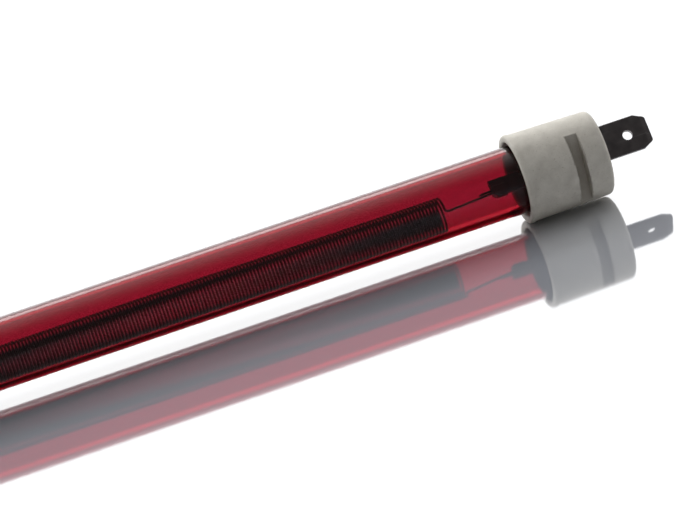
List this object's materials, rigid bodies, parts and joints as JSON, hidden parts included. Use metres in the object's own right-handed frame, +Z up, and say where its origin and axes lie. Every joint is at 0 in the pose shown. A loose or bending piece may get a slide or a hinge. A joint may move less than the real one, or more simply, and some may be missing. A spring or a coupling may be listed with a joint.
{
  "type": "quartz infrared heat lamp",
  "caption": "Ruby quartz-tube infrared heat lamp with an open resistance coil, grooved ceramic end caps and flat push-on tabs.",
  "frame": {"origin": "middle of the quartz tube's axis", "axes": "+X along the lamp, +Z up, bracket grooves facing +Y and -Y, tab planes rolled 34 degrees about the lamp axis from the groove floors"},
  "size_m": [0.2752, 0.0158, 0.0158],
  "materials": {
    "ruby_quartz": "polished, ruby red all through",
    "resistance_wire": "dark oxidised heating alloy wire",
    "steatite": "unglazed, matte off-white",
    "terminal_steel": "dark heat-resisting stamped strip"
  },
  "bodies": {
    "root": {"quartz_tube": "ruby_quartz", "heating_coil": "resistance_wire", "end_cap_right": "steatite", "end_cap_left": "steatite", "terminal_right": "terminal_steel", "terminal_left": "terminal_steel"}
  },
  "joints": []
}
